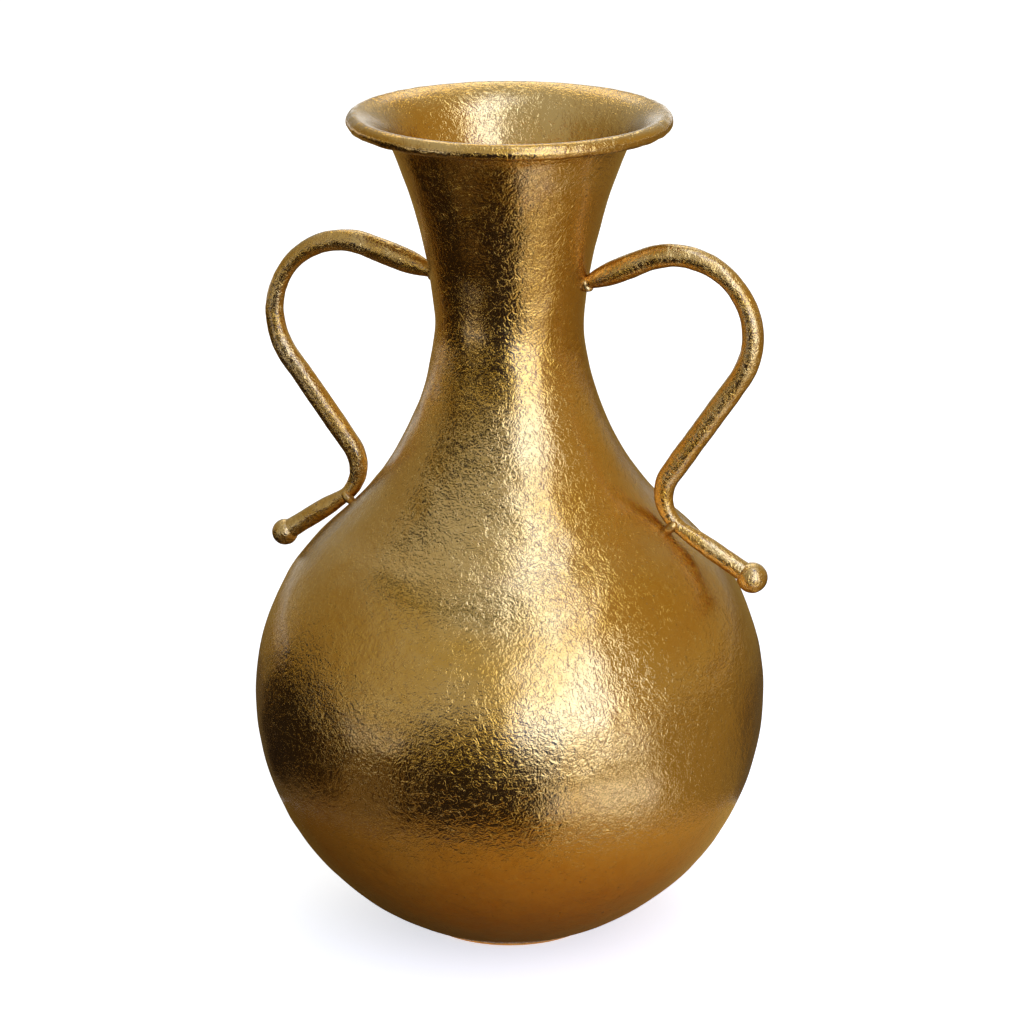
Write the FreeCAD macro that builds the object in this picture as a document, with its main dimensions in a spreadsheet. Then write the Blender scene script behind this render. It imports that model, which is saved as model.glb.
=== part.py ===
import FreeCAD, Part
import Sketcher
import math
import os
import re

# An urn vase of spun iron sheet with two handles of forged round rod.
# The axis of the vase is Z, it stands on Z = 0, and the handles lie along X.

os.makedirs("parts", exist_ok=True)
doc = FreeCAD.newDocument("UrnVase")

# Driving sizes in millimetres and degrees, each with what it measures
sizes = {
    "wall": (1.2, "thickness of the spun sheet"),
    "foot_radius": (43.0, "radius of the flat base disc"),
    "foot_plate": (1.5, "thickness of the base disc"),
    "foot_edge": (0.5, "rounding of the base disc's lower edge"),
    "belly_radius": (124.0, "radius of the round bowl, which is also the widest radius"),
    "waist_radius": (35.4, "outside radius of the waist"),
    "shoulder_share": (0.43, "share of the way in from belly to waist that the rounded shoulder takes"),
    "shoulder_angle": (49.0, "angle through which the rounded shoulder turns"),
    "waist_lean": (4.1, "lean of the wall on each side of the waist seam"),
    "flare_curve": (265.0, "radius of the trumpet neck, in section"),
    "flare_angle": (18.95, "angle through which the trumpet neck turns"),
    "lip_curve": (28.0, "radius of the lip where it rolls outwards, in section"),
    "lip_angle": (46.95, "angle through which the lip turns"),
    "wire_diameter": (5.4, "diameter of the wire inside the rim"),
    "curl_gap": (0.05, "gap between the wire and the sheet curled round it"),
    "curl_angle": (284.0, "angle through which the rim curls round the wire"),
    "bead_width": (4.0, "width of the weld beads inside the seams"),
    "bead_height": (1.2, "height of the weld beads inside the seams"),
    "tip_diameter": (6.0, "diameter of the handle rod's drawn-down tip at the neck"),
    "root_diameter": (12.0, "diameter of the rod behind its tip, up to the bow"),
    "root_start": (12.5, "distance from the neck to the rod's full root diameter"),
    "crook_diameter": (7.4, "diameter of the rod at the crook"),
    "tail_diameter": (9.8, "diameter of the rod's tail"),
    "tail_swell": (12.0, "length over which the rod thickens from the crook to the tail"),
    "tip_above_waist": (21.75, "height of the tip's centre above the waist seam"),
    "reach_share": (0.4871, "bow's centre outside the waist's wall, as a share of the crook's drop below it"),
    "bow_share": (0.3897, "bend radius of the bow at the rod's centre line, as a share of the same drop"),
    "bow_angle": (75.0, "angle round the bow from its start to its thinnest place"),
    "crook_lead": (3.2, "angle round the sweep from the shoulder's join to the crook"),
    "crook_share": (0.199, "bend radius of the crook at the rod's centre line, as a share of the same drop"),
    "crook_gap": (0.4, "gap between the crook and the sweep"),
    "neck_braze": (4.8, "radius of the braze at the rod's tip"),
    "crook_tack": (3.0, "radius of the braze tack under the crook"),
    "ball_seat": (3.0, "distance from a ball's centre to the rod's end inside it"),
    "left_bearing": (180.0, "direction of the left handle, anticlockwise from +X"),
    "left_rise": (17.5, "slope of the left rod where it leaves the neck"),
    "left_bow_diameter": (8.4, "diameter of the left rod where the bow is thinnest"),
    "left_return_diameter": (10.5, "diameter of the left rod on its way back in"),
    "left_droop": (34.6, "slope of the left tail"),
    "left_tail": (37.0, "length of the left tail, from the crook to its ball's centre"),
    "left_ball": (13.1, "diameter of the left ball"),
    "right_bearing": (0.0, "direction of the right handle, anticlockwise from +X"),
    "right_rise": (24.6, "slope of the right rod where it leaves the neck"),
    "right_bow_diameter": (9.9, "diameter of the right rod where the bow is thinnest"),
    "right_return_diameter": (11.2, "diameter of the right rod on its way back in"),
    "right_droop": (31.0, "slope of the right tail"),
    "right_tail": (40.5, "length of the right tail, from the crook to its ball's centre"),
    "right_ball": (15.0, "diameter of the right ball"),
    "cut_overrun": (2.0, "how far a piece runs past the face that trims it"),
}

sheet = doc.addObject("Spreadsheet::Sheet", "Sizes")
for row, (name, (amount, note)) in enumerate(sizes.items(), start=1):
    sheet.set(f"A{row}", name)
    sheet.set(f"B{row}", str(amount))
    sheet.set(f"C{row}", note)
    sheet.setAlias(f"B{row}", name)

# Places that follow from the sizes: centres of the section's arcs and where they meet
places = doc.addObject("App::VarSet", "Places")
known = {name: f"Sizes.{name}" for name in sizes}


# The text with each size and place written as the property that holds it.
def formula(text):
    return re.sub(r"[a-z]\w*", lambda word: known.get(word[0], word[0]), text)


def place(name, text):
    places.addProperty("App::PropertyFloat", name)
    places.setExpression(name, formula(text))
    known[name] = f"Places.{name}"


def number(text):
    return float(places.evalExpression(formula(text)))


place("equator", "foot_plate + sqrt(belly_radius^2 - foot_radius^2)")
place("inner_belly", "belly_radius - wall")
place("inner_foot", "sqrt(inner_belly^2 - (equator - foot_plate)^2)")

place("narrowing", "belly_radius - waist_radius")
place("shoulder_curve", "narrowing * shoulder_share / (1 - cos(shoulder_angle))")
place("sweep_curve", "narrowing * (1 - shoulder_share) / (cos(waist_lean) - cos(shoulder_angle))")
place("shoulder_x", "belly_radius - shoulder_curve")
place("join_x", "shoulder_x + shoulder_curve * cos(shoulder_angle)")
place("join_z", "equator + shoulder_curve * sin(shoulder_angle)")
place("inner_join_x", "join_x - wall * cos(shoulder_angle)")
place("inner_join_z", "join_z - wall * sin(shoulder_angle)")

place("sweep_x", "join_x + sweep_curve * cos(shoulder_angle)")
place("sweep_z", "join_z + sweep_curve * sin(shoulder_angle)")
place("waist_z", "sweep_z - sweep_curve * sin(waist_lean)")
place("inner_waist", "sweep_x - sqrt((sweep_curve + wall)^2 - (sweep_z - waist_z)^2)")

place("flare_x", "waist_radius + flare_curve * cos(waist_lean)")
place("flare_z", "waist_z - flare_curve * sin(waist_lean)")
place("flare_end", "waist_lean + flare_angle")
place("flare_end_x", "flare_x - flare_curve * cos(flare_end)")
place("flare_end_z", "flare_z + flare_curve * sin(flare_end)")
place("inner_flare_end_x", "flare_end_x - wall * cos(flare_end)")
place("inner_flare_end_z", "flare_end_z + wall * sin(flare_end)")

place("lip_x", "flare_end_x + lip_curve * cos(flare_end)")
place("lip_z", "flare_end_z - lip_curve * sin(flare_end)")
place("lip_end", "flare_end + lip_angle")
place("curl_inside", "wire_diameter / 2 + curl_gap")
place("curl_outside", "curl_inside + wall")
place("wire_x", "lip_x - (lip_curve - curl_inside) * cos(lip_end)")
place("wire_z", "lip_z + (lip_curve - curl_inside) * sin(lip_end)")
place("curl_middle", "lip_end + curl_angle / 2")
place("curl_end", "lip_end + curl_angle")

place("tip_z", "waist_z + tip_above_waist")
place("tip_x", "flare_x - sqrt(flare_curve^2 - (tip_z - flare_z)^2)")
place("crook_angle", "shoulder_angle - crook_lead")
place("contact_x", "sweep_x - sweep_curve * cos(crook_angle)")
place("contact_z", "sweep_z - sweep_curve * sin(crook_angle)")
place("crook_drop", "waist_z - contact_z")
place("bow_radius", "bow_share * crook_drop")
place("bow_x", "waist_radius + reach_share * crook_drop")
place("crook_radius", "crook_share * crook_drop")
place("crook_depth", "sweep_curve - crook_gap - crook_diameter / 2 - crook_radius")
place("crook_x", "sweep_x - crook_depth * cos(crook_angle)")
place("crook_z", "sweep_z - crook_depth * sin(crook_angle)")
place("crook_heading", "crook_angle - 90")
place("crook_middle_x", "crook_x + crook_radius * sin(crook_heading)")
place("crook_middle_z", "crook_z - crook_radius * cos(crook_heading)")
doc.recompute()


# Holds one end of an edge at a point that two formulas give.
def pin(sketch, edge, end, x, z):
    for kind, axis, text in (("DistanceX", -2, x), ("DistanceY", -1, z)):
        if text == "0":
            sketch.addConstraint(Sketcher.Constraint("PointOnObject", edge, end, axis))
        else:
            held = sketch.addConstraint(Sketcher.Constraint(kind, -1, 1, edge, end, number(text)))
            sketch.setExpression(f"Constraints[{held}]", formula(text))


def bind(sketch, kind, edge, text):
    held = sketch.addConstraint(Sketcher.Constraint(kind, edge, number(text)))
    sketch.setExpression(f"Constraints[{held}]", formula(text))


def point(x, z):
    return FreeCAD.Vector(number(x), number(z), 0)


# The shorter arc, with its centre left (1) or right (-1) of the way from start to end.
def arcBetween(start, end, radius, side):
    half = (end - start) / 2
    rise = math.sqrt(radius**2 - half.Length**2)
    across = FreeCAD.Vector(-half.y, half.x, 0).normalize()
    centre = start + half + across * (rise * side)
    first, last = (start, end) if side > 0 else (end, start)
    circle = Part.Circle(centre, FreeCAD.Vector(0, 0, 1), radius)
    return Part.ArcOfCircle(circle, angleOf(first - centre), angleOf(last - centre))


def angleOf(vector):
    return math.atan2(vector.y, vector.x)


# A sketch on the body's own XZ plane, with its X along X and its Y along Z.
def sectionSketch(body, name):
    sketch = body.newObject("Sketcher::SketchObject", name)
    plane = [part for part in body.Origin.OriginFeatures if part.Role == "XZ_Plane"][0]
    sketch.AttachmentSupport = [(plane, "")]
    sketch.MapMode = "FlatFace"
    return sketch


# Draws lines and arcs through corners. Each corner is x, z and the bend of the edge that follows
# it: None for a straight edge, or an arc's radius and the side of its centre.
def drawLine(sketch, corners, closed=True):
    edges = []
    follows = corners[1:] + corners[:1] if closed else corners[1:]
    for (x, z, bend), (nextX, nextZ, _) in zip(corners, follows):
        start = point(x, z)
        end = point(nextX, nextZ)
        if bend is None:
            edges.append((sketch.addGeometry(Part.LineSegment(start, end)), 1, 2))
            continue
        radius, side = bend
        edge = sketch.addGeometry(arcBetween(start, end, number(radius), side))
        edges.append((edge, 1, 2) if side > 0 else (edge, 2, 1))
        bind(sketch, "Radius", edge, radius)
    for before, after in zip(edges, edges[1:] + edges[:1] if closed else edges[1:]):
        sketch.addConstraint(Sketcher.Constraint("Coincident", before[0], before[2], after[0], after[1]))
    for (edge, start, end), (x, z, bend) in zip(edges, corners):
        pin(sketch, edge, start, x, z)
    if not closed:
        edge, start, end = edges[-1]
        pin(sketch, edge, end, *corners[-1][:2])


# A body turned once round the Z axis.
def turnedBody(name, corners):
    body = doc.addObject("PartDesign::Body", name)
    sketch = sectionSketch(body, f"{name}_section")
    drawLine(sketch, corners)
    turned = body.newObject("PartDesign::Revolution", f"{name}_turned")
    turned.Profile = sketch
    turned.ReferenceAxis = (sketch, ["V_Axis"])
    turned.Angle = 360
    return body


# The vase's sheet-metal walls, each the section between its outer and its inner face
bowl = turnedBody("bowl", [
    ("foot_radius", "foot_plate", ("belly_radius", 1)),
    ("belly_radius", "equator", None),
    ("inner_belly", "equator", ("inner_belly", -1)),
    ("inner_foot", "foot_plate", None),
])

shoulder = turnedBody("shoulder", [
    ("belly_radius", "equator", ("shoulder_curve", 1)),
    ("join_x", "join_z", ("sweep_curve", -1)),
    ("waist_radius", "waist_z", None),
    ("inner_waist", "waist_z", ("sweep_curve + wall", 1)),
    ("inner_join_x", "inner_join_z", ("shoulder_curve - wall", -1)),
    ("inner_belly", "equator", None),
])


# A point on the curl at this radius, at this angle past level on the wire's inner side.
def onCurl(radius, angle):
    return f"wire_x - {radius} * cos({angle})", f"wire_z + {radius} * sin({angle})"


neck = turnedBody("neck", [
    ("waist_radius", "waist_z", ("flare_curve", -1)),
    ("flare_end_x", "flare_end_z", ("lip_curve", -1)),
    (*onCurl("curl_inside", "lip_end"), ("curl_inside", -1)),
    (*onCurl("curl_inside", "curl_middle"), ("curl_inside", -1)),
    (*onCurl("curl_inside", "curl_end"), None),
    (*onCurl("curl_outside", "curl_end"), ("curl_outside", 1)),
    (*onCurl("curl_outside", "curl_middle"), ("curl_outside", 1)),
    (*onCurl("curl_outside", "lip_end"), ("lip_curve + wall", 1)),
    ("inner_flare_end_x", "inner_flare_end_z", ("flare_curve + wall", 1)),
    ("inner_waist", "waist_z", None),
])

# The vase's outer shape as a solid, which trims what is joined to it
envelope = turnedBody("envelope", [
    ("0", "0", None),
    ("foot_radius", "0", None),
    ("foot_radius", "foot_plate", ("belly_radius", 1)),
    ("belly_radius", "equator", ("shoulder_curve", 1)),
    ("join_x", "join_z", ("sweep_curve", -1)),
    ("waist_radius", "waist_z", ("flare_curve", -1)),
    ("flare_end_x", "flare_end_z", None),
    ("0", "flare_end_z", None),
])
# A quarter turn keeps the revolved faces' seam away from the handles.
envelope.Placement.Rotation = FreeCAD.Rotation(FreeCAD.Vector(0, 0, 1), 90)

# The weld beads inside the seams, each a low ridge that lies on the two faces that it joins
place("bead_reach", "bead_width / 2")
place("bead_crest", "bead_reach / 2")
place("bead_foot_x", "inner_foot + bead_reach")
place("bead_foot_z", "equator - sqrt(inner_belly^2 - bead_foot_x^2)")
place("bead_bowl_x", "sqrt(inner_belly^2 - bead_reach^2)")
place("bead_shoulder_x", "shoulder_x + sqrt((shoulder_curve - wall)^2 - bead_reach^2)")
place("bead_sweep_x", "sweep_x - sqrt((sweep_curve + wall)^2 - (sweep_z - waist_z + bead_reach)^2)")
place("bead_flare_x", "flare_x - sqrt((flare_curve + wall)^2 - (waist_z + bead_reach - flare_z)^2)")
doc.recompute()

base_weld = turnedBody("base_weld", [
    ("inner_foot - bead_reach", "foot_plate", None),
    ("inner_foot", "foot_plate", None),
    ("bead_foot_x", "bead_foot_z", None),
    ("inner_foot", "foot_plate + bead_height", None),
])

belly_seam = turnedBody("belly_seam", [
    ("bead_bowl_x", "equator - bead_reach", None),
    ("inner_belly", "equator", None),
    ("bead_shoulder_x", "equator + bead_reach", None),
    ("inner_belly - bead_height", "equator + bead_crest", None),
    ("inner_belly - bead_height", "equator - bead_crest", None),
])

waist_seam = turnedBody("waist_seam", [
    ("bead_sweep_x", "waist_z - bead_reach", ("sweep_curve + wall", -1)),
    ("inner_waist", "waist_z", ("flare_curve + wall", -1)),
    ("bead_flare_x", "waist_z + bead_reach", None),
    ("inner_waist - bead_height", "waist_z + bead_crest", None),
    ("inner_waist - bead_height", "waist_z - bead_crest", None),
])


# The flat disc that closes the bowl's open bottom, with its lower edge rounded.
def baseDisc():
    body = doc.addObject("PartDesign::Body", "base_disc")
    sketch = body.newObject("Sketcher::SketchObject", "base_disc_outline")
    plane = [part for part in body.Origin.OriginFeatures if part.Role == "XY_Plane"][0]
    sketch.AttachmentSupport = [(plane, "")]
    sketch.MapMode = "FlatFace"
    circle = Part.Circle(FreeCAD.Vector(), FreeCAD.Vector(0, 0, 1), number("foot_radius"))
    edge = sketch.addGeometry(circle)
    sketch.addConstraint(Sketcher.Constraint("Coincident", edge, 3, -1, 1))
    bind(sketch, "Radius", edge, "foot_radius")
    disc = body.newObject("PartDesign::Pad", "base_disc_plate")
    disc.Profile = sketch
    disc.setExpression("Length", formula("foot_plate"))
    doc.recompute()
    lower = [f"Edge{index}" for index, rim in enumerate(disc.Shape.Edges, start=1)
             if rim.Closed and rim.BoundBox.ZMax < disc.Shape.BoundBox.Center.z]
    rounding = body.newObject("PartDesign::Fillet", "base_disc_rounding")
    rounding.Base = (disc, lower)
    rounding.setExpression("Radius", formula("foot_edge"))
    return body


# The wire inside the rim's curl, its ends butted so that it is one ring
def rimWire():
    ring = doc.addObject("Part::Torus", "rim_wire")
    ring.setExpression("Radius1", formula("wire_x"))
    ring.setExpression("Radius2", formula("wire_diameter / 2"))
    ring.setExpression("Placement.Base.z", formula("wire_z"))
    return ring


base = baseDisc()
rim_wire = rimWire()


# The bow's centre, the places where the rod's section changes, and the tail, for one side.
# A heading is the rod's slope at a place, on its way from the neck to the ball.
def handlePlaces(side):
    place(f"{side}_bow_z", f"tip_z + (bow_x - bow_radius * sin({side}_rise) - tip_x) * tan({side}_rise)"
          f" - bow_radius * cos({side}_rise)")
    place(f"{side}_start_x", f"bow_x - bow_radius * sin({side}_rise)")
    place(f"{side}_start_z", f"{side}_bow_z + bow_radius * cos({side}_rise)")
    place(f"{side}_run", f"({side}_start_x - tip_x) / cos({side}_rise)")
    place(f"{side}_thin_heading", f"{side}_rise - bow_angle")
    place(f"{side}_thin_x", f"bow_x - bow_radius * sin({side}_thin_heading)")
    place(f"{side}_thin_z", f"{side}_bow_z + bow_radius * cos({side}_thin_heading)")

    # The straight return crosses from the bow's outer side to the crook's inner side.
    place(f"{side}_span", f"sqrt((crook_x - bow_x)^2 + (crook_z - {side}_bow_z)^2)")
    place(f"{side}_back_heading", f"atan((crook_x - bow_x) / ({side}_bow_z - crook_z)) / 1deg - 90"
          f" - asin((bow_radius + crook_radius) / {side}_span) / 1deg")
    place(f"{side}_leave_x", f"bow_x - bow_radius * sin({side}_back_heading)")
    place(f"{side}_leave_z", f"{side}_bow_z + bow_radius * cos({side}_back_heading)")
    place(f"{side}_arrive_x", f"crook_x + crook_radius * sin({side}_back_heading)")
    place(f"{side}_arrive_z", f"crook_z - crook_radius * cos({side}_back_heading)")

    place(f"{side}_tail_heading", f"0 - {side}_droop")
    place(f"{side}_tail_x", f"crook_x - crook_radius * sin({side}_droop)")
    place(f"{side}_tail_z", f"crook_z - crook_radius * cos({side}_droop)")
    place(f"{side}_full_x", f"{side}_tail_x + tail_swell * cos({side}_droop)")
    place(f"{side}_full_z", f"{side}_tail_z - tail_swell * sin({side}_droop)")
    place(f"{side}_ball_x", f"{side}_tail_x + {side}_tail * cos({side}_droop)")
    place(f"{side}_ball_z", f"{side}_tail_z - {side}_tail * sin({side}_droop)")
    place(f"{side}_end_x", f"{side}_ball_x - ball_seat * cos({side}_droop)")
    place(f"{side}_end_z", f"{side}_ball_z + ball_seat * sin({side}_droop)")
    doc.recompute()


# The rod's centre line: round the bow, straight back in, round the crook and out along the tail
def rodRoute(body, side):
    sketch = sectionSketch(body, f"{side}_route")
    drawLine(sketch, [
        (f"{side}_start_x", f"{side}_start_z", ("bow_radius", -1)),
        (f"{side}_thin_x", f"{side}_thin_z", ("bow_radius", -1)),
        (f"{side}_leave_x", f"{side}_leave_z", None),
        (f"{side}_arrive_x", f"{side}_arrive_z", ("crook_radius", 1)),
        ("crook_middle_x", "crook_middle_z", ("crook_radius", 1)),
        (f"{side}_tail_x", f"{side}_tail_z", None),
        (f"{side}_full_x", f"{side}_full_z", None),
        (f"{side}_end_x", f"{side}_end_z", None),
    ], closed=False)
    return sketch


# A round section of the rod, square to its centre line at a place with this heading
def rodSection(body, side, station, heading, diameter):
    name, x, z = station
    sketch = body.newObject("Sketcher::SketchObject", f"{side}_{name}_section")
    plane = [part for part in body.Origin.OriginFeatures if part.Role == "YZ_Plane"][0]
    sketch.AttachmentSupport = [(plane, "")]
    sketch.MapMode = "FlatFace"
    down = number(heading) < 0
    tilt = f"0 - {heading}" if down else heading
    axis = FreeCAD.Vector(1 if down else -1, 0, 0)
    sketch.AttachmentOffset = FreeCAD.Placement(FreeCAD.Vector(), FreeCAD.Rotation(axis, number(tilt)))
    sketch.setExpression("AttachmentOffset.Base.y", formula(z))
    sketch.setExpression("AttachmentOffset.Base.z", formula(x))
    sketch.setExpression("AttachmentOffset.Rotation.Angle", formula(tilt))
    circle = Part.Circle(FreeCAD.Vector(), FreeCAD.Vector(0, 0, 1), number(diameter) / 2)
    edge = sketch.addGeometry(circle)
    sketch.addConstraint(Sketcher.Constraint("Coincident", edge, 3, -1, 1))
    bind(sketch, "Radius", edge, f"{diameter} / 2")
    return sketch


# The bent rod, thinned by the hammer on the bow and at the crook
def bentRod(body, side):
    route = rodRoute(body, side)
    stations = [
        (("start", f"{side}_start_x", f"{side}_start_z"), f"{side}_rise", "root_diameter"),
        (("thin", f"{side}_thin_x", f"{side}_thin_z"), f"{side}_thin_heading", f"{side}_bow_diameter"),
        (("leave", f"{side}_leave_x", f"{side}_leave_z"), f"{side}_back_heading", f"{side}_return_diameter"),
        (("arrive", f"{side}_arrive_x", f"{side}_arrive_z"), f"{side}_back_heading", f"{side}_return_diameter"),
        (("crook", "crook_middle_x", "crook_middle_z"), "crook_heading", "crook_diameter"),
        (("tail", f"{side}_tail_x", f"{side}_tail_z"), f"{side}_tail_heading", "crook_diameter"),
        (("full", f"{side}_full_x", f"{side}_full_z"), f"{side}_tail_heading", "tail_diameter"),
        (("end", f"{side}_end_x", f"{side}_end_z"), f"{side}_tail_heading", "tail_diameter"),
    ]
    sections = [rodSection(body, side, *station) for station in stations]
    # The sketch counts the edges of its wire from the tail.
    for span, (first, last) in enumerate(zip(sections, sections[1:]), start=1):
        pipe = body.newObject("PartDesign::AdditivePipe", f"{side}_span_{span}")
        pipe.Profile = first
        pipe.Spine = (route, [f"Edge{len(sections) - span}"])
        pipe.Transformation = "Multisection"
        pipe.Sections = [last]
    doc.recompute()
    length = route.Shape.Length
    mean = 2 * math.sqrt(pipe.Shape.Volume / (math.pi * length))
    print(f"{side} bent rod: {length:.1f} mm long, {mean:.2f} mm thick on average")


# The rod's first run, from the neck out to the bow: drawn down to its tip
def forgedEnd(body, side):
    sketch = sectionSketch(body, f"{side}_forged_section")

    # A point this far from the neck along the run's axis, and this far above the axis
    def along(distance, radius):
        return (f"tip_x + ({distance}) * cos({side}_rise) - ({radius}) * sin({side}_rise)",
                f"tip_z + ({distance}) * sin({side}_rise) + ({radius}) * cos({side}_rise)")

    stations = [
        ("0 - cut_overrun - tip_diameter", "tip_diameter / 2"),
        ("0", "tip_diameter / 2"),
        ("root_start", "root_diameter / 2"),
        (f"{side}_run", "root_diameter / 2"),
        (f"{side}_run", "0"),
        ("0 - cut_overrun - tip_diameter", "0"),
    ]
    drawLine(sketch, [(*along(*station), None) for station in stations])
    turned = body.newObject("PartDesign::Revolution", f"{side}_forged")
    turned.Profile = sketch
    turned.ReferenceAxis = (sketch, [f"Edge{len(stations) - 1}"])
    turned.Angle = 360


# The base less each tool in turn.
def cut(name, base, *tools):
    for index, tool in enumerate(tools, start=1):
        last = index == len(tools)
        step = doc.addObject("Part::Cut", name if last else f"{name}_step{index}")
        step.Base = base
        step.Tool = tool
        base = step
    return base


def blob(name, radius, x, z):
    sphere = doc.addObject("Part::Sphere", name)
    sphere.setExpression("Radius", formula(radius))
    sphere.setExpression("Placement.Base.x", formula(x))
    sphere.setExpression("Placement.Base.z", formula(z))
    return sphere


# One handle with its ball and its two brazed joints, made along +X and turned to its bearing.
def addHandle(side):
    handlePlaces(side)
    rod = doc.addObject("PartDesign::Body", f"{side}_rod")
    bentRod(rod, side)
    forgedEnd(rod, side)

    sphere = blob(f"{side}_sphere", f"{side}_ball / 2", f"{side}_ball_x", f"{side}_ball_z")
    braze = blob(f"{side}_braze_blob", "neck_braze", "tip_x", "tip_z")
    tack = blob(f"{side}_tack_blob", "crook_tack", "contact_x", "contact_z")
    pieces = [
        cut(f"{side}_handle", rod, envelope),
        cut(f"{side}_ball", sphere, rod),
        cut(f"{side}_neck_braze", braze, envelope, rod),
        cut(f"{side}_crook_tack", tack, envelope, rod),
    ]
    for piece in pieces:
        piece.setExpression("Placement.Rotation.Angle", formula(f"{side}_bearing"))
    return pieces


left = addHandle("left")
right = addHandle("right")
nodes = [base, base_weld, bowl, belly_seam, shoulder, waist_seam, neck, rim_wire, *left, *right]
doc.recompute()

for item in doc.Objects:
    failed = {"Invalid", "Error"} & set(item.State)
    if failed:
        raise RuntimeError(f"{item.Label} could not be made")

for item in nodes:
    if item.Shape.isNull() or not item.Shape.isValid():
        raise RuntimeError(f"{item.Label} has no sound solid")
    item.Shape.exportStep(f"parts/{item.Label}.step")
    box = item.Shape.optimalBoundingBox()
    print(f"{item.Label}: {len(item.Shape.Solids)} solid, {item.Shape.Volume:.0f} mm3,"
          f" x {box.XMin:.1f} to {box.XMax:.1f}, z {box.ZMin:.1f} to {box.ZMax:.1f}")

print(f"height {number('wire_z + curl_outside'):.1f} mm, rim radius {number('wire_x + curl_outside'):.1f} mm,"
      f" waist radius {number('waist_radius'):.1f} mm at {number('waist_z'):.1f} mm")
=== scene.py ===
import math

import bpy
import numpy as np
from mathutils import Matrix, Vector


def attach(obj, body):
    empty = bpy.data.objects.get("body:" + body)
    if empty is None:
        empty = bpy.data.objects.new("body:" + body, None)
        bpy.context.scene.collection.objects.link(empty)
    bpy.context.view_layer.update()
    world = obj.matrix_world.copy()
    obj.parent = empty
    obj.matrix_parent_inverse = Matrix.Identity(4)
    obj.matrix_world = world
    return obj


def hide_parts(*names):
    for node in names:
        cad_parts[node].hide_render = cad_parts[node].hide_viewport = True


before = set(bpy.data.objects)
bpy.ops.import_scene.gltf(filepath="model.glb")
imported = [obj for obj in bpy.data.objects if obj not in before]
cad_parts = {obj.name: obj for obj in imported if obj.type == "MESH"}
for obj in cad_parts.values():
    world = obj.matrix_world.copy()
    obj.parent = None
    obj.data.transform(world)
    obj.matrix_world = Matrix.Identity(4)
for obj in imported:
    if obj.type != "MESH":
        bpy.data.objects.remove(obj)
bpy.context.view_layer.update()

scene = bpy.context.scene
pi = math.pi


def arc(centre, radius, start, end, step):
    # Points of a circle's arc in the section plane: centre plus radius times cosine and sine, about a
    # step apart, and three at the least
    count = max(3, int(math.ceil(abs(end - start) * radius / step)) + 1)
    angle = np.linspace(start, end, count)
    return np.stack([centre[0] + radius * np.cos(angle), centre[1] + radius * np.sin(angle)], axis=1)


def fullTurn(count):
    # The angles of this many points spread evenly round a circle
    return np.arange(count) * 2 * pi / count


def spun(line, angle):
    # A line of the section, as radius and height, carried round the Z axis: radius times cosine, radius
    # times sine, height
    return np.stack([line[:, None, 0] * np.cos(angle), line[:, None, 0] * np.sin(angle),
                     np.repeat(line[:, None, 1], len(angle), axis=1)], axis=2)


def valueNoise(points, cell, seed):
    # Smooth noise from 0 to 1: random values on a lattice of this cell, blended by eased weights in three
    # axes. The lattice repeats without a seam, and the offset keeps its planes off the vase's own middle.
    size, offset = 32, 16.37
    lattice = np.random.default_rng(seed).random((size, size, size))
    place = points / cell + offset
    low = np.floor(place).astype(int)
    share = place - low
    share = share * share * (3 - 2 * share)
    total = np.zeros(len(points))
    for dx in (0, 1):
        for dy in (0, 1):
            for dz in (0, 1):
                weight = (np.abs(1 - dx - share[:, 0]) * np.abs(1 - dy - share[:, 1])
                          * np.abs(1 - dz - share[:, 2]))
                total += weight * lattice[(low[:, 0] + dx) % size, (low[:, 1] + dy) % size,
                                          (low[:, 2] + dz) % size]
    return total


def facesOfGrid(rows, columns, closeRows):
    # Each face joins a grid place to the next one along its row, which closes on itself, and the next up.
    row, column = np.divmod(np.arange((rows if closeRows else rows - 1) * columns), columns)
    up, along = (row + 1) % rows, (column + 1) % columns
    return np.stack([row * columns + column, row * columns + along,
                     up * columns + along, up * columns + column], axis=1)


def ringsToMesh(rings, firstPole, lastPole):
    # Rings of points joined row by row, with a fan of triangles to a pole at each end
    rows, columns = rings.shape[:2]
    points = np.concatenate([rings.reshape(-1, 3), [firstPole], [lastPole]])
    column = np.arange(columns)
    along = (column + 1) % columns
    top = (rows - 1) * columns
    first = np.stack([np.full(columns, rows * columns), along, column], axis=1)
    last = np.stack([np.full(columns, rows * columns + 1), top + column, top + along], axis=1)
    return points, facesOfGrid(rows, columns, False).tolist() + first.tolist() + last.tolist()


def meshPiece(name, points, faces, nodes, material):
    # Six times a closed mesh's volume is the sum, over its triangles, of the triple product of their
    # corners. Where that is below zero, the faces point inwards and are turned round.
    triangles = np.array([tuple(face[:3]) for face in faces]
                         + [(face[0], face[2], face[3]) for face in faces if len(face) == 4])
    corners = [points[triangles[:, i]] for i in range(3)]
    if np.einsum("ij,ij->i", corners[0], np.cross(corners[1], corners[2])).sum() < 0:
        faces = [face[::-1] for face in faces]
    mesh = bpy.data.meshes.new(name)
    mesh.from_pydata(points.tolist(), [], faces)
    mesh.update()
    mesh.shade_smooth()
    piece = bpy.data.objects.new(name, mesh)
    scene.collection.objects.link(piece)
    mesh.materials.append(material)
    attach(piece, "root")
    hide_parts(*nodes)


def node(tree, kind, values=None, **settings):
    made = tree.nodes.new(kind)
    for key, value in settings.items():
        setattr(made, key, value)
    for key, value in (values or {}).items():
        made.inputs[key].default_value = value
    return made


def feed(tree, value, target):
    # A socket takes another node's output, or a plain number
    if isinstance(value, (int, float)):
        target.default_value = value
    else:
        tree.links.new(value, target)


def calculate(tree, operation, *values, clamp=False):
    made = node(tree, "ShaderNodeMath", operation=operation, use_clamp=clamp)
    for index, value in enumerate(values):
        feed(tree, value, made.inputs[index])
    return made.outputs[0]


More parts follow.
